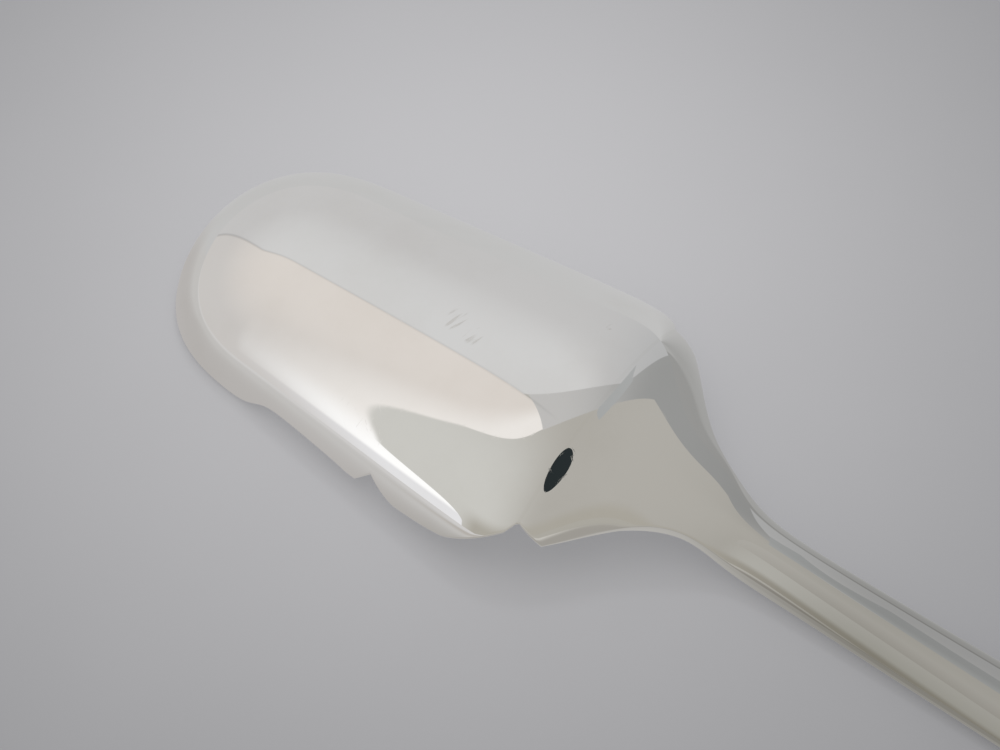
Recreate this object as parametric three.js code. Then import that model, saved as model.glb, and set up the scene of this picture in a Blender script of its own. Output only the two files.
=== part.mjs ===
// Silver cheese scoop, lying face down: a raised bowl, a forged shoulder, a stem and a handle end,
// hard-soldered at scarfed joints. Millimetres, +Z up, +X from the bowl's tip to the handle's end.
import * as THREE from 'three';

// Whole scoop
const LENGTH = 212;

// Bowl, seen from above: stations are measured along the scoop from the tip
const TIP_LENGTH = 15;
const END_FADE = 1.5;
const TIP_HALF_WIDTH = 14.1;
const LOBE_STATION = 39.5;
const LOBE_HALF_WIDTH = 16.4;
const WALL = 1.1;

// Bowl, seen from the side
const TIP_CROWN = 10.5;
const CROWN_RISE = 0.091;
const LIP_HEIGHT = 0.03;
const RIM_RISE = 0.062;
const HEEL_LIFT = 2.2;
const HEEL_LIFT_STATION = 44.7;
const HEEL_LIFT_LENGTH = 2.46;

// Angle of the wall at the rim, from level, at the tip, at the lobes and on the stem's back
const TIP_WALL_ANGLE = 81;
const LOBE_WALL_ANGLE = 71;
const STEM_BACK_ANGLE = 52;

// Ogee, cusps and notches cut along each long edge, with depths measured along the wall
const OGEE_STATION = 17.6;
const OGEE_DEPTH = 1.3;
const OGEE_STEP = 0.9;
const OGEE_RUN = 12;
const OGEE_FALL = 0.7;
const CUSP_NOTCH = { station: 32.5, depth: 1.95, before: 1.6, after: 3.6, bendBefore: 1, bendAfter: 1.7 };
const LOBE_NOTCH = { station: 47.7, depth: 2.75, before: 6.4, after: 2.45, bendBefore: 1.3, bendAfter: 1 };
const NOTCH_ROOT = { ...LOBE_NOTCH, depth: 0.8, before: 0.8, bendBefore: 1 };

// Heel and shoulder: each drop or narrowing is a smooth blend about a station
const HEEL_STATION = 55;
const HEEL_LENGTH = 3.16;
const SHOULDER_STATION = 52.5;
const SHOULDER_LENGTH = 3.05;
const NECK_STATION = 61.5;
const NECK_LENGTH = 1.6;
const HOLLOW_END_START = 48.5;
const HOLLOW_END = 59;

// Stem and handle
const STEM_START = 65;
const STEM_HALF_WIDTH = 3;
const STEM_WIDENING = 0.018;
const STEM_THICKNESS = 3.9;
const STEM_SIDE = 1.3;
const STEM_LIFT = 0.7;
const STEM_LIFT_LENGTH = 44;
const SIDE_INSET = 0.2;
const HANDLE_THICKNESS = 2;
const HANDLE_SIDE = 0.8;
const THINNING_LENGTH = 65;
const HANDLE_HALF_WIDTH = 8.6;
const HANDLE_STATION = 164;
const HANDLE_SPREAD = 13;
const HANDLE_END_LENGTH = 8.5;

// Soldered joints: where each one is, how far its scarf leans, and the film that fills it
const BOWL_JOINT = { station: LOBE_NOTCH.station, lean: 1, reach: 5 };
const NECK_JOINT = { station: 72, lean: 5, reach: 9 };
const HANDLE_JOINT = { station: 127, lean: 6, reach: 14 };
const SOLDER_FILM = 0.3;
const SOLDER_CLEARANCE = 0.05;

// Finish
const SILVER = 0xdcdad4;
const SOLDER = 0xcfcdc6;
const POLISHED = 0.1;

// Mesh density: columns across, rows round each end, and the longest step along each piece
const COLUMNS = 20;
const ROUND_ROWS = 8;
const ROUND_FIRST_ANGLE = 7;
const BOWL_STEP = 1.5;
const SHOULDER_STEP = 1.35;
const STEM_STEP = 5;
const HANDLE_STEP = 6;
const SLOPE_STEP = 0.01;

const rad = THREE.MathUtils.degToRad;
const mix = THREE.MathUtils.lerp;
const fadeIn = (u, station, length) => 1 / (1 + Math.exp((station - u) / length));

// How far u lies into the tip's or the handle end's rounding, 0 on the straight part and 1 at the very end,
// raised to a power so that the curvature fades in
function endShare(u) {
  const intoTip = (TIP_LENGTH - u) / TIP_LENGTH;
  const intoHandleEnd = (u - (LENGTH - HANDLE_END_LENGTH)) / HANDLE_END_LENGTH;
  return THREE.MathUtils.clamp(Math.max(intoTip, intoHandleEnd), 0, 1) ** END_FADE;
}

const thinning = (u) => Math.exp((STEM_START - u) / THINNING_LENGTH);
const sideHeight = (u) => mix(HANDLE_SIDE, STEM_SIDE, thinning(u));

// Underside of the stem and handle: it comes down from the neck and then lies flat on the table
function stemUnderside(u) {
  const left = Math.max(0, 1 - (u - STEM_START) / STEM_LIFT_LENGTH);
  return u < STEM_START + STEM_LIFT_LENGTH ? STEM_LIFT * left * left : 0;
}

function halfWidth(u) {
  const slim = STEM_HALF_WIDTH + STEM_WIDENING * (u - STEM_START);
  const stem = mix(slim, HANDLE_HALF_WIDTH, fadeIn(u, HANDLE_STATION, HANDLE_SPREAD));
  const spread = (u - TIP_LENGTH) / (LOBE_STATION - TIP_LENGTH);
  const bowl = mix(TIP_HALF_WIDTH, LOBE_HALF_WIDTH, spread);
  return mix(bowl, stem, fadeIn(u, SHOULDER_STATION, SHOULDER_LENGTH));
}

function crown(u) {
  const bowl = TIP_CROWN + CROWN_RISE * (u - TIP_LENGTH);
  const stem = stemUnderside(u) + mix(HANDLE_THICKNESS, STEM_THICKNESS, thinning(u));
  return mix(bowl, stem, fadeIn(u, HEEL_STATION, HEEL_LENGTH));
}

function rimHeight(u) {
  const lift = HEEL_LIFT * fadeIn(u, HEEL_LIFT_STATION, HEEL_LIFT_LENGTH);
  const rim = LIP_HEIGHT + WALL * Math.cos(rad(TIP_WALL_ANGLE));
  const bowl = rim + RIM_RISE * u + lift;
  return mix(bowl, stemUnderside(u) + sideHeight(u), fadeIn(u, NECK_STATION, NECK_LENGTH));
}

function wallAngle(u) {
  const bowl = mix(TIP_WALL_ANGLE, LOBE_WALL_ANGLE, u / LOBE_STATION);
  return rad(mix(bowl, STEM_BACK_ANGLE, fadeIn(u, SHOULDER_STATION, SHOULDER_LENGTH)));
}

function notchDepth(u, notch) {
  const away = u < notch.station ? (notch.station - u) / notch.before : (u - notch.station) / notch.after;
  const bend = u < notch.station ? notch.bendBefore : notch.bendAfter;
  return notch.depth * Math.max(0, 1 - away) ** bend;
}

// Depth of the edge's cut above the plain rim line; ahead of the ogee the edge is level instead
function edgeCut(u) {
  const level = -RIM_RISE * Math.min(u, OGEE_STATION);
  const ogee = OGEE_DEPTH * Math.max(0, 1 - Math.max(0, u - OGEE_STATION) / OGEE_RUN) ** OGEE_FALL;
  const front = mix(level, ogee, fadeIn(u, OGEE_STATION, OGEE_STEP));
  return front + notchDepth(u, CUSP_NOTCH) + notchDepth(u, LOBE_NOTCH) + notchDepth(u, NOTCH_ROOT);
}

// Point on the polished back at station u; q runs from -1 at one edge to 1 at the other
function backPoint(u, q) {
  const half = halfWidth(u);
  const angle = wallAngle(u);
  const share = endShare(u);
  const edgeAngle = angle - edgeCut(u) * Math.sin(angle) / half;
  const across = Math.sqrt(1 - share * share) * Math.sin(q * edgeAngle) / Math.sin(angle);
  const reach = Math.min(1 / Math.sin(angle), Math.hypot(share, across));
  const slope = Math.sqrt(1 - (reach * Math.sin(angle)) ** 2);
  const rise = (slope - Math.cos(angle)) / (1 - Math.cos(angle));
  return new THREE.Vector3(u, half * across, mix(rimHeight(u), crown(u), rise));
}

function backNormal(u, q) {
  const before = backPoint(Math.max(u - SLOPE_STEP, 0), q);
  const ahead = backPoint(Math.min(u + SLOPE_STEP, LENGTH), q).sub(before);
  const right = backPoint(u, Math.max(q - SLOPE_STEP, -1));
  const across = backPoint(u, Math.min(q + SLOPE_STEP, 1)).sub(right);
  return ahead.cross(across).normalize();
}

// Point on the hollow face of the bowl, which closes into the flat underside of the neck and stem
function facePoint(u, q) {
  const back = backPoint(u, q);
  const hollow = back.clone().addScaledVector(backNormal(u, q), -WALL);
  const closed = THREE.MathUtils.smoothstep(u, HOLLOW_END_START, HOLLOW_END);
  const inset = 1 - SIDE_INSET / STEM_HALF_WIDTH;
  const flat = new THREE.Vector3(u, back.y * inset, rimHeight(u) - sideHeight(u));
  return hollow.lerp(flat, closed);
}

// Half the lean of the scarf at station u: the back runs on past the station and the face stops short of
// it, most along the middle and not at all at the edges
function scarfLean(u, q) {
  const lean = [BOWL_JOINT, NECK_JOINT, HANDLE_JOINT].reduce((sum, joint) => {
    const near = Math.max(0, 1 - Math.abs(u - joint.station) / joint.reach);
    return sum + joint.lean * near;
  }, 0);
  return lean * (1 - q * q) / 2;
}

// Closed solid lofted through the given stations, between the back and the face
function loft(stations) {
  const positions = [];
  const index = [];
  const columns = Array.from({ length: COLUMNS + 1 }, (_, i) => 2 * i / COLUMNS - 1);
  const rows = stations.map((u) => {
    const back = columns.map((q) => backPoint(u + scarfLean(u, q), q));
    const face = columns.map((q) => facePoint(u - scarfLean(u, q), q)).reverse();
    return [...back, ...face].map((point) => positions.push(point.x, point.y, point.z) / 3 - 1);
  });
  const quad = (a, b, c, d) => index.push(a, b, c, a, c, d);
  const around = rows[0].length;
  for (let r = 0; r + 1 < rows.length; r += 1) {
    for (let i = 0; i < around; i += 1) {
      const next = (i + 1) % around;
      quad(rows[r][i], rows[r + 1][i], rows[r + 1][next], rows[r][next]);
    }
  }
  const first = rows[0];
  const last = rows[rows.length - 1];
  for (let i = 0; i < COLUMNS; i += 1) {
    const below = around - 1 - i;
    quad(first[i], first[i + 1], first[below - 1], first[below]);
    quad(last[i], last[below], last[below - 1], last[i + 1]);
  }
  const geometry = new THREE.BufferGeometry();
  geometry.setAttribute('position', new THREE.Float32BufferAttribute(positions, 3));
  geometry.setIndex(index);
  geometry.computeVertexNormals();
  return geometry;
}

// Stations from start to end that take in the keys between them and lie no further apart than step
function stationsBetween(start, end, keys, step) {
  const inside = keys.filter((u) => u > start && u < end).sort((a, b) => a - b);
  const stations = [start];
  for (const next of [...inside, end]) {
    const last = stations[stations.length - 1];
    const count = Math.ceil((next - last) / step);
    for (let i = 1; i <= count; i += 1) stations.push(mix(last, next, i / count));
  }
  return stations;
}

// Distances of the rows from a rounded end of the given length, closest together at the very end
function roundedEnd(length) {
  return Array.from({ length: ROUND_ROWS }, (_, i) => {
    const angle = mix(ROUND_FIRST_ANGLE, 90, i / ROUND_ROWS);
    return length * (1 - Math.cos(rad(angle)));
  });
}

const beforeFilm = (joint) => joint.station - SOLDER_FILM / 2 - SOLDER_CLEARANCE;
const afterFilm = (joint) => joint.station + SOLDER_FILM / 2 + SOLDER_CLEARANCE;
const notchKeys = (notch) => [notch.station - notch.before, notch.station, notch.station + notch.after];

function bowlGeometry() {
  const keys = [OGEE_STATION, ...notchKeys(CUSP_NOTCH), ...notchKeys(LOBE_NOTCH), ...notchKeys(NOTCH_ROOT)];
  const straight = stationsBetween(TIP_LENGTH, beforeFilm(BOWL_JOINT), keys, BOWL_STEP);
  return loft([...roundedEnd(TIP_LENGTH), ...straight]);
}

function shoulderGeometry() {
  const keys = [...notchKeys(LOBE_NOTCH), NECK_STATION];
  return loft(stationsBetween(afterFilm(BOWL_JOINT), beforeFilm(NECK_JOINT), keys, SHOULDER_STEP));
}

function stemGeometry() {
  const keys = [STEM_START + STEM_LIFT_LENGTH];
  return loft(stationsBetween(afterFilm(NECK_JOINT), beforeFilm(HANDLE_JOINT), keys, STEM_STEP));
}

function handleGeometry() {
  const end = LENGTH - HANDLE_END_LENGTH;
  const straight = stationsBetween(afterFilm(HANDLE_JOINT), end, [HANDLE_STATION], HANDLE_STEP);
  const rounded = roundedEnd(HANDLE_END_LENGTH).map((distance) => LENGTH - distance).reverse();
  return loft([...straight, ...rounded]);
}

function solderGeometry(joint) {
  return loft([joint.station - SOLDER_FILM / 2, joint.station + SOLDER_FILM / 2]);
}

function piece(name, geometry, color, roughness) {
  const mesh = new THREE.Mesh(geometry, new THREE.MeshStandardMaterial({ color, roughness, metalness: 1 }));
  mesh.name = name;
  return mesh;
}

const scoop = new THREE.Group();
scoop.add(
  piece('bowl_shell', bowlGeometry(), SILVER, POLISHED),
  piece('bowl_solder', solderGeometry(BOWL_JOINT), SOLDER, POLISHED),
  piece('shoulder', shoulderGeometry(), SILVER, POLISHED),
  piece('neck_solder', solderGeometry(NECK_JOINT), SOLDER, POLISHED),
  piece('stem', stemGeometry(), SILVER, POLISHED),
  piece('handle_solder', solderGeometry(HANDLE_JOINT), SOLDER, POLISHED),
  piece('handle_end', handleGeometry(), SILVER, POLISHED),
);

// The origin is the middle of the scoop's box, on the table that it lies on
const box = new THREE.Box3().setFromObject(scoop);
scoop.position.set(-(box.min.x + box.max.x) / 2, 0, -box.min.z);

export default scoop;
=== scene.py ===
"""Polished silver cheese scoop, lying face down on a pale table inside a soft light tent.

The scoop's surfaces follow the same formulas as the solids, in millimetres along stations that are measured
from the bowl's tip, with finer rows and rounded edges. Objects are in metres in the frame of the solids.
"""
import math

import bpy
import numpy as np
from mathutils import Matrix, Vector


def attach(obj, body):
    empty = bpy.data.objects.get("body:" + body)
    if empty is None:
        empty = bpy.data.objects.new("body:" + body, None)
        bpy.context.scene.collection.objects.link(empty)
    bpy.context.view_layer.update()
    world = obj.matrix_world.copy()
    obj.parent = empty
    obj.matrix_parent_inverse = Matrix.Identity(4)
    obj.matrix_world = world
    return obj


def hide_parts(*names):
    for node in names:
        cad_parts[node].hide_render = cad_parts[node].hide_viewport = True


MM = 0.001

# Whole scoop and bowl
LENGTH = 212
TIP_LENGTH = 15
END_FADE = 1.5
TIP_HALF_WIDTH = 14.1
LOBE_STATION = 39.5
LOBE_HALF_WIDTH = 16.4
WALL = 1.1
TIP_CROWN = 10.5
CROWN_RISE = 0.091
LIP_HEIGHT = 0.03
RIM_RISE = 0.062
HEEL_LIFT = 2.2
HEEL_LIFT_STATION = 44.7
HEEL_LIFT_LENGTH = 2.46
TIP_WALL_ANGLE = 81
LOBE_WALL_ANGLE = 71
STEM_BACK_ANGLE = 52

# Ogee, cusps and notches along each long edge
OGEE_STATION = 17.6
OGEE_DEPTH = 1.3
OGEE_STEP = 0.9
OGEE_RUN = 12
OGEE_FALL = 0.7
CUSP_NOTCH = dict(station=32.5, depth=1.95, before=1.6, after=3.6, bend_before=1, bend_after=1.7)
LOBE_NOTCH = dict(station=47.7, depth=2.75, before=6.4, after=2.45, bend_before=1.3, bend_after=1)
NOTCH_ROOT = dict(LOBE_NOTCH, depth=0.8, before=0.8, bend_before=1)

# Heel, shoulder, stem and handle
HEEL_STATION = 55
HEEL_LENGTH = 3.16
SHOULDER_STATION = 52.5
SHOULDER_LENGTH = 3.05
NECK_STATION = 61.5
NECK_LENGTH = 1.6
HOLLOW_END_START = 48.5
HOLLOW_END = 59
STEM_START = 65
STEM_HALF_WIDTH = 3
STEM_WIDENING = 0.018
STEM_THICKNESS = 3.9
STEM_SIDE = 1.3
STEM_LIFT = 0.7
STEM_LIFT_LENGTH = 44
SIDE_INSET = 0.2
HANDLE_THICKNESS = 2
HANDLE_SIDE = 0.8
THINNING_LENGTH = 65
HANDLE_HALF_WIDTH = 8.6
HANDLE_STATION = 164
HANDLE_SPREAD = 13
HANDLE_END_LENGTH = 8.5

# Soldered joints
BOWL_JOINT = dict(station=LOBE_NOTCH["station"], lean=1, reach=5)
NECK_JOINT = dict(station=72, lean=5, reach=9)
HANDLE_JOINT = dict(station=127, lean=6, reach=14)
JOINTS = [BOWL_JOINT, NECK_JOINT, HANDLE_JOINT]
SOLDER_FILM = 0.3

# Fineness of the meshes, and the rounding of the edges
BACK_COLUMNS = 96
FACE_COLUMNS = 72
EDGE_ROUND = 0.3
EDGE_STEPS = 5
BOWL_STEP = 0.35
SHOULDER_STEP = 0.3
STEM_STEP = 0.7
HANDLE_STEP = 0.9
ROUND_ROWS = 48
ROUND_FIRST_ANGLE = 1.5
SLOPE_STEP = 0.01
LEAST_BACK_SHARE = 0.6
MOST_EDGE_SHARE = 0.45
SMALLEST_LENGTH = 1e-12
SMALLEST_STEP = 1e-9

# Camera: fitted to the photograph, as points in stations from the tip, across and up
LOOK_AT = (34.30, 3.01, 0)
CAMERA_AT = (94.64, -80.76, 154.37)
IMAGE_WIDTH = 1000
FOCAL_PIXELS = 1900
SENSOR_WIDTH = 36
CLIP_START = 0.01


def fade_in(u, station, length):
    return 1 / (1 + np.exp((station - u) / length))


def mix(a, b, share):
    return a + (b - a) * share


def end_share(u):
    """0 on the straight part and 1 at the very end, with the curvature fading in."""
    into_tip = (TIP_LENGTH - u) / TIP_LENGTH
    into_handle_end = (u - (LENGTH - HANDLE_END_LENGTH)) / HANDLE_END_LENGTH
    return np.clip(np.maximum(into_tip, into_handle_end), 0, 1) ** END_FADE


def thinning(u):
    return np.exp((STEM_START - u) / THINNING_LENGTH)


def side_height(u):
    return mix(HANDLE_SIDE, STEM_SIDE, thinning(u))


def stem_underside(u):
    return STEM_LIFT * np.maximum(0, 1 - (u - STEM_START) / STEM_LIFT_LENGTH) ** 2


def half_width(u):
    slim = STEM_HALF_WIDTH + STEM_WIDENING * (u - STEM_START)
    stem = mix(slim, HANDLE_HALF_WIDTH, fade_in(u, HANDLE_STATION, HANDLE_SPREAD))
    bowl = mix(TIP_HALF_WIDTH, LOBE_HALF_WIDTH, (u - TIP_LENGTH) / (LOBE_STATION - TIP_LENGTH))
    return mix(bowl, stem, fade_in(u, SHOULDER_STATION, SHOULDER_LENGTH))


def crown(u):
    bowl = TIP_CROWN + CROWN_RISE * (u - TIP_LENGTH)
    stem = stem_underside(u) + mix(HANDLE_THICKNESS, STEM_THICKNESS, thinning(u))
    return mix(bowl, stem, fade_in(u, HEEL_STATION, HEEL_LENGTH))


def rim_height(u):
    lift = HEEL_LIFT * fade_in(u, HEEL_LIFT_STATION, HEEL_LIFT_LENGTH)
    bowl = LIP_HEIGHT + WALL * math.cos(math.radians(TIP_WALL_ANGLE)) + RIM_RISE * u + lift
    return mix(bowl, stem_underside(u) + side_height(u), fade_in(u, NECK_STATION, NECK_LENGTH))


def wall_angle(u):
    bowl = mix(TIP_WALL_ANGLE, LOBE_WALL_ANGLE, u / LOBE_STATION)
    return np.radians(mix(bowl, STEM_BACK_ANGLE, fade_in(u, SHOULDER_STATION, SHOULDER_LENGTH)))


def notch_depth(u, notch):
    before = u < notch["station"]
    away_before = (notch["station"] - u) / notch["before"]
    away_after = (u - notch["station"]) / notch["after"]
    left = np.maximum(0, 1 - np.where(before, away_before, away_after))
    return notch["depth"] * left ** np.where(before, notch["bend_before"], notch["bend_after"])


def edge_cut(u):
    """Depth of the edge's cut above the plain rim line; ahead of the ogee the edge is level instead."""
    level = -RIM_RISE * np.minimum(u, OGEE_STATION)
    left = np.maximum(0, 1 - np.maximum(0, u - OGEE_STATION) / OGEE_RUN)
    front = mix(level, OGEE_DEPTH * left ** OGEE_FALL, fade_in(u, OGEE_STATION, OGEE_STEP))
    return front + sum(notch_depth(u, notch) for notch in (CUSP_NOTCH, LOBE_NOTCH, NOTCH_ROOT))


def back_point(u, q):
    """Point on the polished back at station u; q runs from -1 at one edge to 1 at the other."""
    half = half_width(u)
    angle = wall_angle(u)
    share = end_share(u)
    edge_angle = angle - edge_cut(u) * np.sin(angle) / half
    across = np.sqrt(1 - share ** 2) * np.sin(q * edge_angle) / np.sin(angle)
    reach = np.minimum(1 / np.sin(angle), np.hypot(share, across))
    slope = np.sqrt(1 - (reach * np.sin(angle)) ** 2)
    rise = (slope - np.cos(angle)) / (1 - np.cos(angle))
    return np.stack([u + 0 * q, half * across, mix(rim_height(u), crown(u), rise)], -1)


def unit(vectors):
    return vectors / np.maximum(np.linalg.norm(vectors, axis=-1, keepdims=True), SMALLEST_LENGTH)


def back_normal(u, q):
    ahead = back_point(np.minimum(u + SLOPE_STEP, LENGTH), q) - back_point(np.maximum(u - SLOPE_STEP, 0), q)
    across = back_point(u, np.minimum(q + SLOPE_STEP, 1)) - back_point(u, np.maximum(q - SLOPE_STEP, -1))
    return unit(np.cross(ahead, across))


def face_point(u, q):
    """Point on the hollow face of the bowl, which closes into the flat underside of the neck and stem."""
    back = back_point(u, q)
    hollow = back - WALL * back_normal(u, q)
    away = np.clip((u - HOLLOW_END_START) / (HOLLOW_END - HOLLOW_END_START), 0, 1)
    closed = (away * away * (3 - 2 * away))[..., None]
    inset = 1 - SIDE_INSET / STEM_HALF_WIDTH
    flat = np.stack([back[..., 0], back[..., 1] * inset, rim_height(u) - side_height(u)], -1)
    return mix(hollow, flat, closed)


def scarf_lean(u, q):
    lean = sum(j["lean"] * np.maximum(0, 1 - abs(u - j["station"]) / j["reach"]) for j in JOINTS)
    return lean * (1 - q * q) / 2


def on_back(u, q):
    return back_point(np.clip(u + scarf_lean(u, q), 0, LENGTH), q)


def on_face(u, q):
    return face_point(np.clip(u - scarf_lean(u, q), 0, LENGTH), q)


def rounded_corner(start, corner, end):
    """Points between start and end on a curve that the corner pulls out, without its ends."""
    steps = (np.arange(1, EDGE_STEPS) / EDGE_STEPS)[None, :, None]
    start, corner, end = start[:, None], corner[:, None], end[:, None]
    return (1 - steps) ** 2 * start + 2 * steps * (1 - steps) * corner + steps ** 2 * end


def rings(stations):
    """A closed ring of points at each station: the back, an edge, the face and the other edge."""
    u = np.asarray(stations, float)[:, None]
    speed = np.linalg.norm(on_back(u, np.ones_like(u)) - on_back(u, np.full_like(u, 1 - SLOPE_STEP)), axis=-1)
    speed = np.maximum(speed, SMALLEST_STEP)
    q_end = np.maximum(LEAST_BACK_SHARE, 1 - EDGE_ROUND * SLOPE_STEP / speed)
    back = on_back(u + 0 * q_end, q_end * np.linspace(-1, 1, BACK_COLUMNS)[None])
    face = on_face(u + 0 * q_end, q_end * np.linspace(1, -1, FACE_COLUMNS)[None])
    edges = []
    for side in (1, -1):
        top = on_back(u, np.full_like(u, side))[:, 0]
        foot = on_face(u, np.full_like(u, side))[:, 0]
        along = foot - top
        share = np.minimum(MOST_EDGE_SHARE, EDGE_ROUND / np.linalg.norm(along, axis=-1, keepdims=True))
        near_top = top + along * share
        near_foot = foot - along * share
        back_end, face_end = (back[:, -1], face[:, 0]) if side == 1 else (back[:, 0], face[:, -1])
        corner_top = rounded_corner(back_end, top, near_top)
        corner_foot = rounded_corner(near_foot, foot, face_end)
        edge = np.concatenate([corner_top, near_top[:, None], near_foot[:, None], corner_foot], 1)
        edges.append(edge if side == 1 else edge[:, ::-1])
    return np.concatenate([back, edges[0], face, edges[1]], 1)


def ring_normals(stations):
    """Outward normals of the rings, taken from the unbroken surface so that they agree across joints."""
    u = np.asarray(stations, float)
    ahead = rings(np.minimum(u + SLOPE_STEP, LENGTH)) - rings(np.maximum(u - SLOPE_STEP, 0))
    ring = rings(u)
    around = np.roll(ring, -1, 1) - np.roll(ring, 1, 1)
    return unit(np.cross(ahead, around))


def stations_between(start, end, keys, step):
    """Stations that take in the keys and lie no further apart than step."""
    marks = [start, *sorted(key for key in keys if start < key < end), end]
    stations = [start]
    for low, high in zip(marks, marks[1:]):
        stations.extend(np.linspace(low, high, math.ceil((high - low) / step) + 1)[1:])
    return stations


def rounded_end(length):
    angles = np.radians(np.linspace(ROUND_FIRST_ANGLE, 90, ROUND_ROWS, endpoint=False))
    return list(length * (1 - np.cos(angles)))


def notch_keys(notch):
    return [notch["station"] - notch["before"], notch["station"], notch["station"] + notch["after"]]


def film(joint):
    return [joint["station"] - SOLDER_FILM / 2, joint["station"] + SOLDER_FILM / 2]


def loft(name, stations, material):
    """Closed mesh through the rings at the stations, with smooth sides and flat ends."""
    ring = (rings(stations) - ORIGIN) * MM
    normals = ring_normals(stations)
    rows, around = ring.shape[:2]
    index = np.arange(rows * around).reshape(rows, around)
    ahead = np.roll(index, -1, 1)
    sides = np.stack([index[:-1], index[1:], ahead[1:], ahead[:-1]], -1).reshape(-1, 4)
    faces = [*sides.tolist(), index[0].tolist(), index[-1, ::-1].tolist()]
    mesh = bpy.data.meshes.new(name)
    mesh.from_pydata(ring.reshape(-1, 3).tolist(), [], faces)
    mesh.materials.append(material)
    mesh.polygons.foreach_set("use_smooth", [True] * len(faces))
    loop_normals = normals.reshape(-1, 3)[sides.reshape(-1)]
    ends = [unit(ring[0].mean(0) - ring[1].mean(0)), unit(ring[-1].mean(0) - ring[-2].mean(0))]
    flat = np.repeat(ends, around, 0)
    mesh.normals_split_custom_set(np.concatenate([loop_normals, flat]).tolist())
    mesh.update()
    piece = bpy.data.objects.new(name, mesh)
    bpy.context.scene.collection.objects.link(piece)
    return piece


def add_piece(node, stations, material):
    piece = loft(node + "_polished", stations, material)
    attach(piece, "root")
    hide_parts(node)
    return piece


class Nodes:
    """A short way to add shader nodes and link them."""

    def __init__(self, tree):
        self.tree = tree
        tree.nodes.clear()

    def add(self, kind, inputs=(), **settings):
        node = self.tree.nodes.new(kind)
        for key, value in settings.items():
            setattr(node, key, value)
        for key, value in dict(inputs).items():
            if isinstance(value, bpy.types.NodeSocket):
                self.tree.links.new(value, node.inputs[key])
            else:
                node.inputs[key].default_value = value
        return node

    def math(self, operation, a, b=0.0):
        return self.add("ShaderNodeMath", {0: a, 1: b}, operation=operation).outputs[0]

    def vector(self, operation, a, b, output="Vector"):
        return self.add("ShaderNodeVectorMath", {0: a, 1: b}, operation=operation).outputs[output]

    def dot(self, vector, direction):
        return self.vector("DOT_PRODUCT", vector, direction, "Value")

    def noise(self, place, settings):
        return self.add("ShaderNodeTexNoise", {"Vector": place, **settings}).outputs["Fac"]

    def stretched(self, place, turn, stretch):
        inputs = {"Vector": place, "Angle": turn}
        turned = self.add("ShaderNodeVectorRotate", inputs, rotation_type="Z_AXIS")
        return self.vector("MULTIPLY", turned.outputs[0], stretch)

    def ramp(self, value, low, high, to_low=0.0, to_high=1.0):
        inputs = {"Value": value, "From Min": low, "From Max": high, "To Min": to_low, "To Max": to_high}
        return self.add("ShaderNodeMapRange", inputs, interpolation_type="SMOOTHSTEP").outputs["Result"]

    def blend(self, share, a, b):
        node = self.add("ShaderNodeMix", {"Factor": share}, data_type="RGBA")
        for socket, value in ((node.inputs[6], a), (node.inputs[7], b)):
            if isinstance(value, bpy.types.NodeSocket):
                self.tree.links.new(value, socket)
            else:
                socket.default_value = (*value, 1)
        return node.outputs[2]


# Silver: clean metal, a warm painted shade on the stem's near flank with a painted highlight along its ridge
# and a paler painted reflection on its far flank, hairline scratches and dull marks
CLEAN_SILVER = (0.955, 0.95, 0.94)
TARNISHED_SILVER = (0.905, 0.895, 0.875)
SOLDER_COLOR = (0.935, 0.93, 0.915)
POLISH = 0.01
CLOUDS = {"Scale": 90.0, "Detail": 5.0, "Roughness": 0.6}
CLOUD_RANGE = (0.42, 0.72)
CLOUD_ROUGHNESS = 0.015
CLOUD_TARNISH = 0.6
HAIRLINES = ((0.35, (140, 5200, 900)), (-0.9, (4300, 160, 900)), (1.9, (170, 6100, 900)))
HAIRS = {"Scale": 1.0, "Detail": 2.0}
HAIR_RANGE = (0.66, 0.74)
PATCHES = {"Scale": 45.0, "Detail": 3.0}
PATCH_RANGE = (0.45, 0.65)
SCRATCH_ROUGHNESS = 0.08
SCRATCH_DEPTH = 0.004 * MM
SCRATCH_STRENGTH = 0.12
DULL_MARKS = ((32.2, -0.9, 1.6), (34.6, -1.5, 1.3), (44.1, 7.1, 0.9))
MARK_FADE = (0, 0.4)
MARK_TURN = 1.9
MARK_STRETCH = (350, 2200, 900)
SMEARS = {"Scale": 1.0, "Detail": 1.0}
SMEAR_RANGE = (0.5, 0.64)
MARK_SHADE = (0.83, 0.815, 0.79)
MARK_ROUGHNESS = 0.2
# Painted shade: from the shoulder towards the handle the silver turns into the stem's painted shade and
# painted reflection bands
PAINTED_SHADE_START = 52
PAINTED_SHADE_END = 80
# Painted shade and painted reflection bands of the stem, chosen by the way its surface turns: a dark near
# flank, a light ridge and a paler far flank
STEM_PAINTED_SHADE = (0.465, 0.455, 0.42)
STEM_PAINTED_RIDGE_HIGHLIGHT = (0.75, 0.745, 0.725)
STEM_PAINTED_FAR_REFLECTION = (0.62, 0.615, 0.60)
PAINTED_RIDGE_TURN = (-1.0, -0.25)
PAINTED_FAR_TURN = (-0.2, 0.05)


def dull_marks(n, place):
    """Share of each point that a dull mark covers, from the marks' stations, places across and reaches."""
    level = n.vector("MULTIPLY", place, (1, 1, 0))
    near_mark = 0.0
    for station, across, reach in DULL_MARKS:
        away = n.vector("DISTANCE", level, in_frame((station, across, 0)), "Value")
        near_mark = n.math("MAXIMUM", near_mark, n.ramp(away, reach * MM, 0))
    smears = n.noise(n.stretched(place, MARK_TURN, MARK_STRETCH), SMEARS)
    return n.math("MULTIPLY", n.ramp(near_mark, *MARK_FADE), n.ramp(smears, *SMEAR_RANGE))


def scratches(n, place):
    """Share of each point that hairlines in three directions cover, in patches."""
    scratch = 0.0
    for turn, stretch in HAIRLINES:
        lines = n.noise(n.stretched(place, turn, stretch), HAIRS)
        scratch = n.math("MAXIMUM", scratch, n.ramp(lines, *HAIR_RANGE))
    return n.math("MULTIPLY", scratch, n.ramp(n.noise(place, PATCHES), *PATCH_RANGE))


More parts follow.
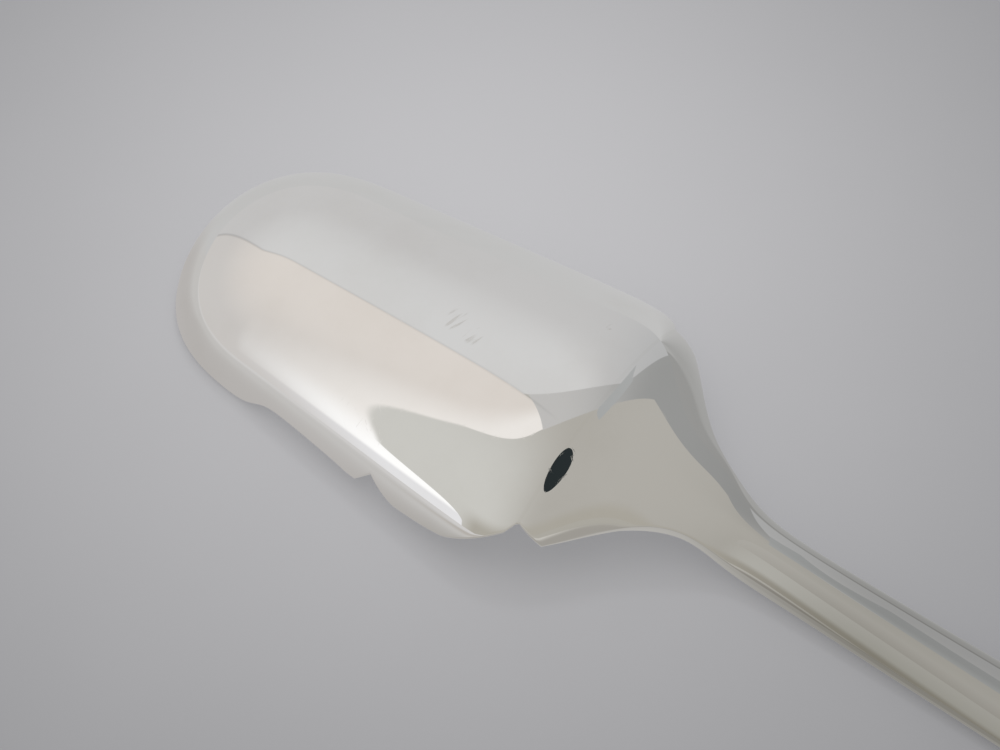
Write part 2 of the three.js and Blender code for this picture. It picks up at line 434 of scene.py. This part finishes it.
def stem_painted_light(n):
    """Painted shade and painted reflection by the way the surface turns: darkest on the near flank, a painted
    highlight along the ridge and a paler painted reflection on the far flank.
    """
    turned_far = n.dot(n.add("ShaderNodeNewGeometry").outputs["Normal"], (0, 1, 0))
    near = n.blend(n.ramp(turned_far, *PAINTED_RIDGE_TURN), STEM_PAINTED_SHADE, STEM_PAINTED_RIDGE_HIGHLIGHT)
    return n.blend(n.ramp(turned_far, *PAINTED_FAR_TURN), near, STEM_PAINTED_FAR_REFLECTION)


def silver(name, clean, polish):
    material = bpy.data.materials.new(name)
    material.use_nodes = True
    n = Nodes(material.node_tree)
    place = n.add("ShaderNodeTexCoord").outputs["Object"]
    cloud = n.ramp(n.noise(place, CLOUDS), *CLOUD_RANGE)
    scratch = scratches(n, place)
    mark = dull_marks(n, place)
    rough = n.math("ADD", n.math("MULTIPLY", cloud, CLOUD_ROUGHNESS), polish)
    rough = n.math("ADD", rough, n.math("MULTIPLY", scratch, SCRATCH_ROUGHNESS))
    rough = n.math("ADD", rough, n.math("MULTIPLY", mark, MARK_ROUGHNESS))
    scratched = {"Height": scratch, "Strength": SCRATCH_STRENGTH, "Distance": SCRATCH_DEPTH}
    bump = n.add("ShaderNodeBump", scratched, invert=True)
    color = n.blend(n.math("MULTIPLY", cloud, CLOUD_TARNISH), clean, TARNISHED_SILVER)
    along = n.dot(place, (1 / MM, 0, 0))
    # Painted shade: the colour darkens from the shoulder towards the handle
    shaded_toward_handle = n.ramp(along, PAINTED_SHADE_START - ORIGIN[0], PAINTED_SHADE_END - ORIGIN[0])
    color = n.blend(shaded_toward_handle, color, stem_painted_light(n))
    color = n.blend(mark, color, MARK_SHADE)
    shader = n.add("ShaderNodeBsdfPrincipled", {"Base Color": color, "Metallic": 1.0, "Roughness": rough,
                                                "Normal": bump.outputs[0]})
    output = n.add("ShaderNodeOutputMaterial")
    n.tree.links.new(shader.outputs[0], output.inputs["Surface"])
    return material


# Table: a pale floor with a painted pool of light, darker away from the bowl, a painted glow of its own, and
# painted reflection tones of its own for mirrors
TABLE_COLOR = (0.372, 0.373, 0.390)
TABLE_PAINTED_SHADE = (0.195, 0.197, 0.208)
# Painted light: the floor glows with its own colour, which lightens the shadows on it
TABLE_GLOW = 0.6
TABLE_LIGHT_POOL_MIDDLE = (20, 15, 0)
TABLE_LIGHT_POOL_REACH = 100
TABLE_ROUGHNESS = 0.7
MOTTLE = {"Scale": 60.0, "Detail": 6.0}
MOTTLE_REACH = 4
# Painted reflection of the table, with painted shade in the darker tones near the scoop, behind the heel, by
# the stem and to the right
MIRRORED_NEAR = (0.48, 0.463, 0.452)
MIRRORED_MIDDLE = (0.55, 0.54, 0.53)
MIRRORED_FAR = (0.63, 0.62, 0.615)
MIRRORED_RIGHT = (0.32, 0.32, 0.315)
MIRRORED_STEM = (0.36, 0.345, 0.32)
MIRRORED_SIDE = (0.47, 0.46, 0.44)
MIRRORED_OUT = (0.56, 0.545, 0.51)
MIRRORED_AHEAD = (0.43, 0.415, 0.375)
MIRRORED_BESIDE = (0.475, 0.45, 0.42)
MIRRORED_BACK = (0.55, 0.55, 0.55)
MIRRORED_HEEL = (0.37, 0.37, 0.365)
MIRRORED_FLANK = (0.41, 0.41, 0.405)
TABLE_SIZE = 30

# Where the mirrored tones turn into each other, in stations along the scoop and millimetres across it
NEAR_TURN = (0, 30)
FAR_LEFT = dict(along=(12, -8), across=(-45, -160))
BESIDE = dict(along=(4, 16), across=(-45, -85))
HEEL_TURN = (40, 56)
FLANK_TURN = (58, 66)
BEHIND_TURN = (-5, 5)
BY_STEM = dict(along=(22, 52), across=(4, -4))
AHEAD_TURN = (80, 130)
SIDE_TURN = (-22, -14)
STEM_OUT = dict(along=(115, 100), across=(-35, -60))
RIGHT_ALONG = (54, 57)
RIGHT_ACROSS = (20, 30)
RIGHT_SLANT = 0.1


def mirrored_table(n, place):
    """Painted reflection: the table's tone as the scoop mirrors it, set by place, with painted shade near the
    scoop, behind the heel, by the stem and to the right.
    """
    station = n.math("ADD", n.dot(place, (1 / MM, 0, 0)), ORIGIN[0])
    sideways = n.dot(place, (0, 1 / MM, 0))

    def zone(along, across):
        return n.math("MULTIPLY", n.ramp(sideways, *across), n.ramp(station, *along))

    aside = n.math("SUBTRACT", n.math("ABSOLUTE", sideways), TIP_HALF_WIDTH)
    apart = n.math("MAXIMUM", aside, n.math("SUBTRACT", 0.0, station))
    tone = n.blend(n.ramp(apart, *NEAR_TURN), MIRRORED_NEAR, MIRRORED_MIDDLE)
    tone = n.blend(zone(**FAR_LEFT), tone, MIRRORED_FAR)
    tone = n.blend(zone(**BESIDE), tone, MIRRORED_BESIDE)
    behind = n.blend(n.ramp(station, *HEEL_TURN), MIRRORED_BACK, MIRRORED_HEEL)
    behind = n.blend(n.ramp(station, *FLANK_TURN), behind, MIRRORED_FLANK)
    tone = n.blend(n.ramp(sideways, *BEHIND_TURN), tone, behind)
    by_stem = n.blend(n.ramp(station, *AHEAD_TURN), MIRRORED_STEM, MIRRORED_AHEAD)
    by_stem = n.blend(n.ramp(sideways, *SIDE_TURN), by_stem, MIRRORED_SIDE)
    by_stem = n.blend(zone(**STEM_OUT), by_stem, MIRRORED_OUT)
    tone = n.blend(zone(**BY_STEM), tone, by_stem)
    slant = n.math("SUBTRACT", station, n.math("MULTIPLY", sideways, RIGHT_SLANT))
    to_right = n.math("MULTIPLY", n.ramp(slant, *RIGHT_ALONG), n.ramp(sideways, *RIGHT_ACROSS))
    return n.blend(to_right, tone, MIRRORED_RIGHT)


def add_table():
    material = bpy.data.materials.new("table")
    material.use_nodes = True
    n = Nodes(material.node_tree)
    place = n.add("ShaderNodeTexCoord").outputs["Object"]
    mottle = n.math("MULTIPLY", n.noise(place, MOTTLE), MOTTLE_REACH * MM)
    # Painted pool of light: the floor's colour darkens with distance from the pool's middle, its edge wobbled
    # by noise
    distance = n.math("ADD", n.vector("DISTANCE", place, in_frame(TABLE_LIGHT_POOL_MIDDLE), "Value"), mottle)
    color = n.blend(n.ramp(distance, 0, TABLE_LIGHT_POOL_REACH * MM), TABLE_COLOR, TABLE_PAINTED_SHADE)
    # The floor glows by itself, a painted light
    shader = n.add("ShaderNodeBsdfPrincipled", {"Base Color": color, "Roughness": TABLE_ROUGHNESS,
                                                "Emission Color": color, "Emission Strength": TABLE_GLOW})
    # Painted reflection: glossy rays see these set tones instead of the lit floor
    mirror_shader = n.add("ShaderNodeEmission", {"Color": mirrored_table(n, place)})
    glossy_ray = n.add("ShaderNodeLightPath").outputs["Is Glossy Ray"]
    both = n.add("ShaderNodeMixShader", {0: glossy_ray, 1: shader.outputs[0], 2: mirror_shader.outputs[0]})
    output = n.add("ShaderNodeOutputMaterial")
    n.tree.links.new(both.outputs[0], output.inputs["Surface"])
    mesh = bpy.data.meshes.new("table")
    half = TABLE_SIZE / 2
    corners = [(-half, -half, 0), (half, -half, 0), (half, half, 0), (-half, half, 0)]
    mesh.from_pydata(corners, [], [(0, 1, 2, 3)])
    mesh.materials.append(material)
    table = bpy.data.objects.new("table", mesh)
    bpy.context.scene.collection.objects.link(table)


# Light tent, as seen from the scoop: right and away are the photograph's own directions on the table
VIEW_AZIMUTH = math.radians(-35.767)
RIGHT = (math.cos(VIEW_AZIMUTH), -math.sin(VIEW_AZIMUTH), 0)
AWAY = (math.sin(VIEW_AZIMUTH), math.cos(VIEW_AZIMUTH), 0)
UP = (0, 0, 1)
LEFT_CORNER = (-0.781, -0.623, -0.044)
LEFT_FRONT = (-0.419, 0.875, -0.243)
BACK_TOP = (-0.327, 0.858, -0.396)
RIGHT_CORNER = (-0.72, 0.693, -0.039)
FRONT_TOP = (0.373, -0.918, 0.135)
FRONT_SIDE = (-0.233, -0.747, 0.623)
FRONT_SIDE_SHIFT = 0.15
GAP_LEFT_END = -0.26
EDGE_SOFTNESS = 0.004
BACKGROUND = (0.62, 0.62, 0.64)
BACK_LEFT = (0.57, 0.565, 0.565)
BACK_RIGHT = (0.455, 0.46, 0.465)
BACK_HIGH = (0.65, 0.65, 0.65)
LEFT_LOW = (0.60, 0.58, 0.565)
LEFT_HIGH = (0.73, 0.685, 0.645)
GLOW_LOW = (0.80, 0.80, 0.82)
GLOW = (1.06, 1.06, 1.06)
GLOW_HIGH = (0.86, 0.83, 0.80)
GLOW_WIDTH = 0.12
CEILING = (0.54, 0.535, 0.53)
GAP = (0.315, 0.318, 0.315)
FRONT_LEFT = (0.605, 0.60, 0.57)
FRONT_RIGHT = (0.445, 0.43, 0.398)
FRONT_LOW = (0.42, 0.40, 0.355)
SEAM_DEPTH = 0.2
SEAM_WIDTH = 0.02

# Where the tent's tones and edges turn, by how far a ray points right, away or up: a span, and for some
# of them the two values at its ends
CORNER_BEND = (0.69, 0.875, -0.095, 0.015)
INSIDE_LOW = (0.05, 0.25, 0.14, 0.0)
INSIDE_HIGH = (0.75, 0.95, 0.0, 0.11)
INSIDE_MIDDLE = (0.25, 0.65, 0.0, 0.024)
GAP_TURN = (-0.2, 0.8)
FRONT_TURN = (-0.8, 0.05)
FRONT_LOW_UP = (0.3, 0.08)
FRONT_LOW_RIGHT = (-0.88, -0.76)
BACK_TURN = (0.0, 0.8)
BACK_HIGH_UP = (0.4, 0.85)
BACK_HIGH_RIGHT = (0.3, 0.0)
GLOW_RISE = (0.09, 0.14)
GLOW_FADE = (0.15, 0.5)
LEFT_RISE = (0.3, 0.9)
SEAM_AWAY = (0.1, 0.3)
SEAM_UP = (0.9, 0.6, 0.55, 1.0)


def add_tent():
    world = bpy.data.worlds.new("tent")
    world.use_nodes = True
    bpy.context.scene.world = world
    n = Nodes(world.node_tree)
    ray = n.add("ShaderNodeTexCoord").outputs["Generated"]
    right, away, up = (n.dot(ray, axis) for axis in (RIGHT, AWAY, UP))
    seen = n.add("ShaderNodeCombineXYZ", {0: right, 1: away, 2: up}).outputs[0]

    def beyond(edge, shift=0):
        return n.ramp(n.dot(seen, edge), -shift - EDGE_SOFTNESS, -shift + EDGE_SOFTNESS)

    corner = n.math("ADD", n.dot(seen, LEFT_CORNER), n.ramp(up, *CORNER_BEND))
    nearer = n.math("ADD", n.ramp(up, *INSIDE_LOW), n.ramp(up, *INSIDE_HIGH))
    nearer = n.math("SUBTRACT", nearer, n.ramp(up, *INSIDE_MIDDLE))
    inside = n.math("ADD", n.dot(seen, LEFT_FRONT), nearer)
    left = n.math("MULTIPLY", n.ramp(corner, -EDGE_SOFTNESS, EDGE_SOFTNESS),
                  n.ramp(inside, -EDGE_SOFTNESS, EDGE_SOFTNESS))
    back = n.math("MULTIPLY", beyond(BACK_TOP), beyond(RIGHT_CORNER))
    front = n.math("MULTIPLY", beyond(FRONT_TOP), beyond(FRONT_SIDE, FRONT_SIDE_SHIFT))
    left_side = n.ramp(right, GAP_LEFT_END, GAP_LEFT_END - EDGE_SOFTNESS)
    front = n.math("MAXIMUM", front, left_side)
    gap_color = n.blend(n.ramp(right, *GAP_TURN), CEILING, GAP)
    front_color = n.blend(n.ramp(right, *FRONT_TURN), FRONT_LEFT, FRONT_RIGHT)
    low_front = n.math("MULTIPLY", n.ramp(up, *FRONT_LOW_UP), n.ramp(right, *FRONT_LOW_RIGHT))
    front_color = n.blend(low_front, front_color, FRONT_LOW)
    back_color = n.blend(n.ramp(right, *BACK_TURN), BACK_LEFT, BACK_RIGHT)
    raised = n.math("MULTIPLY", n.ramp(up, *BACK_HIGH_UP), n.ramp(right, *BACK_HIGH_RIGHT))
    back_color = n.blend(raised, back_color, BACK_HIGH)
    glow_color = n.blend(n.ramp(up, *GLOW_RISE), GLOW_LOW, GLOW)
    glow_color = n.blend(n.ramp(up, *GLOW_FADE), glow_color, GLOW_HIGH)
    left_color = n.blend(n.ramp(up, *LEFT_RISE), LEFT_LOW, LEFT_HIGH)
    left_color = n.blend(n.ramp(n.dot(seen, LEFT_FRONT), 0.0, GLOW_WIDTH), glow_color, left_color)
    tent = n.blend(front, gap_color, front_color)
    tent = n.blend(back, tent, back_color)
    tent = n.blend(n.math("MULTIPLY", left, left_side), tent, left_color)
    seam = n.math("MULTIPLY", n.ramp(n.math("ABSOLUTE", corner), 0.0, SEAM_WIDTH, SEAM_DEPTH, 0.0),
                  n.math("MULTIPLY", n.ramp(away, *SEAM_AWAY), n.ramp(up, *SEAM_UP)))
    seam = n.math("SUBTRACT", 1.0, seam)
    tent = n.add("ShaderNodeVectorMath", {0: tent, 3: seam}, operation="SCALE").outputs[0]
    camera_ray = n.add("ShaderNodeLightPath").outputs["Is Camera Ray"]
    color = n.blend(camera_ray, tent, BACKGROUND)
    background = n.add("ShaderNodeBackground", {"Color": color})
    output = n.add("ShaderNodeOutputWorld")
    n.tree.links.new(background.outputs[0], output.inputs["Surface"])


# Lens of the camera, which the near shoulder mirrors: a dark oval on the line from that spot to the camera,
# in a pale sleeve that hides it from the stem
LENS_SPOT = (48.7, -8.3, 10.7)
LENS_SHARE = 0.8
LENS_HALF_WIDTH = 16.5
LENS_HALF_HEIGHT = 44.6
LENS_TILT = math.radians(-7)
LENS_SIDES = 64
LENS_COLOR = (0.022, 0.028, 0.03)
SLEEVE_SHARE = 0.25
SLEEVE_HALF_WIDTH = 5.9
SLEEVE_HALF_HEIGHT = 15.6
SLEEVE_COLOR = (0.47, 0.455, 0.425)


def in_frame(point):
    """A point given in stations, across and up, in the frame of the solids."""
    return Vector([(value - start) * MM for value, start in zip(point, ORIGIN)])


def add_camera():
    place, target = in_frame(CAMERA_AT), in_frame(LOOK_AT)
    data = bpy.data.cameras.new("camera")
    data.sensor_width = SENSOR_WIDTH
    data.lens = SENSOR_WIDTH * FOCAL_PIXELS / IMAGE_WIDTH
    data.clip_start = CLIP_START
    camera = bpy.data.objects.new("camera", data)
    turn = (target - place).to_track_quat("-Z", "Y")
    camera.matrix_world = Matrix.Translation(place) @ turn.to_matrix().to_4x4()
    bpy.context.scene.collection.objects.link(camera)
    bpy.context.scene.camera = camera
    return camera.matrix_world


def add_panel(name, points, faces, color):
    """A panel that only mirrors show."""
    material = bpy.data.materials.new(name)
    material.use_nodes = True
    n = Nodes(material.node_tree)
    shader = n.add("ShaderNodeEmission", {"Color": (*color, 1)})
    output = n.add("ShaderNodeOutputMaterial")
    n.tree.links.new(shader.outputs[0], output.inputs["Surface"])
    mesh = bpy.data.meshes.new(name)
    mesh.from_pydata(points, [], faces)
    mesh.materials.append(material)
    panel = bpy.data.objects.new(name, mesh)
    panel.visible_camera = False
    panel.visible_diffuse = False
    panel.visible_shadow = False
    bpy.context.scene.collection.objects.link(panel)


def lens_oval(camera_place, share, half_width, half_height):
    """An oval that faces the camera, at a share of the way to it from the lens spot."""
    turn = camera_place.to_3x3() @ Matrix.Rotation(LENS_TILT, 3, "Z")
    middle = in_frame(LENS_SPOT).lerp(camera_place.translation, share)
    angles = [2 * math.pi * i / LENS_SIDES for i in range(LENS_SIDES)]
    rim = [Vector((half_width * math.cos(a), half_height * math.sin(a), 0)) for a in angles]
    return [middle + turn @ point * MM for point in rim]


def add_lens(camera_place):
    lens = lens_oval(camera_place, LENS_SHARE, LENS_HALF_WIDTH, LENS_HALF_HEIGHT)
    mouth = lens_oval(camera_place, SLEEVE_SHARE, SLEEVE_HALF_WIDTH, SLEEVE_HALF_HEIGHT)
    add_panel("lens", lens, [list(range(LENS_SIDES))], LENS_COLOR)
    ahead = [(i + 1) % LENS_SIDES for i in range(LENS_SIDES)]
    walls = [(i, ahead[i], LENS_SIDES + ahead[i], LENS_SIDES + i) for i in range(LENS_SIDES)]
    add_panel("lens_sleeve", mouth + lens, walls, SLEEVE_COLOR)


# Card above the stem, which darkens the far side of its back
CARD_COLOR = (0.40, 0.41, 0.412)
CARD_HEIGHT = 400
CARD_OUTLINE = ((62, 130), (70, 110), (84, 95), (108, 80), (108, 425), (85, 474), (57, 617))


def add_card():
    points = [in_frame((*point, CARD_HEIGHT)) for point in CARD_OUTLINE]
    add_panel("card", points, [list(range(len(points)))], CARD_COLOR)


# Lamps: a small key behind the scoop and a broad fill above the camera, neither of them mirrored
KEY = dict(place=(-10, 130, 260), size=0.05, power=0.07)
FILL = dict(place=(40, 0, 330), size=0.4, power=0.35)


def add_lamp(name, place, size, power):
    data = bpy.data.lights.new(name, "AREA")
    data.shape = "DISK"
    data.size = size
    data.energy = power
    lamp = bpy.data.objects.new(name, data)
    turn = (in_frame(LOOK_AT) - in_frame(place)).to_track_quat("-Z", "Y")
    lamp.matrix_world = Matrix.Translation(in_frame(place)) @ turn.to_matrix().to_4x4()
    lamp.visible_glossy = False
    bpy.context.scene.collection.objects.link(lamp)


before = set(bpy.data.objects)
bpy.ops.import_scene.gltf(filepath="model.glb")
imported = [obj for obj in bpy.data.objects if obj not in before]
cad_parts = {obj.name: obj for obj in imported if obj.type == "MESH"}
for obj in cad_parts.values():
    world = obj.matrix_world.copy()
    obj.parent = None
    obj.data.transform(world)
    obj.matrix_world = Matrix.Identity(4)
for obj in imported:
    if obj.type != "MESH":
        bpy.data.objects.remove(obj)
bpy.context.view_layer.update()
bpy.context.scene.view_settings.view_transform = "Standard"

# Stations run from the tip, and the frame's origin is midway along
ORIGIN = np.array([LENGTH / 2, 0, 0])

bowl_film, neck_film, handle_film = (film(joint) for joint in JOINTS)
bowl_keys = [OGEE_STATION, *notch_keys(CUSP_NOTCH), *notch_keys(LOBE_NOTCH), *notch_keys(NOTCH_ROOT)]
bowl_stations = rounded_end(TIP_LENGTH) + stations_between(TIP_LENGTH, bowl_film[0], bowl_keys, BOWL_STEP)
shoulder_keys = [*notch_keys(LOBE_NOTCH), NECK_STATION]
shoulder_stations = stations_between(bowl_film[1], neck_film[0], shoulder_keys, SHOULDER_STEP)
stem_stations = stations_between(neck_film[1], handle_film[0], [STEM_START + STEM_LIFT_LENGTH], STEM_STEP)
handle_start = LENGTH - HANDLE_END_LENGTH
handle_end = [LENGTH - distance for distance in reversed(rounded_end(HANDLE_END_LENGTH))]
handle_stations = stations_between(handle_film[1], handle_start, [HANDLE_STATION], HANDLE_STEP) + handle_end

polished = silver("polished_silver", CLEAN_SILVER, POLISH)
solder = silver("polished_solder", SOLDER_COLOR, POLISH)
add_piece("bowl_shell", bowl_stations, polished)
add_piece("shoulder", shoulder_stations, polished)
add_piece("stem", stem_stations, polished)
add_piece("handle_end", handle_stations, polished)
add_piece("bowl_solder", bowl_film, solder)
add_piece("neck_solder", neck_film, solder)
add_piece("handle_solder", handle_film, solder)

add_table()
add_tent()
add_lens(add_camera())
add_card()
add_lamp("key", **KEY)
add_lamp("fill", **FILL)
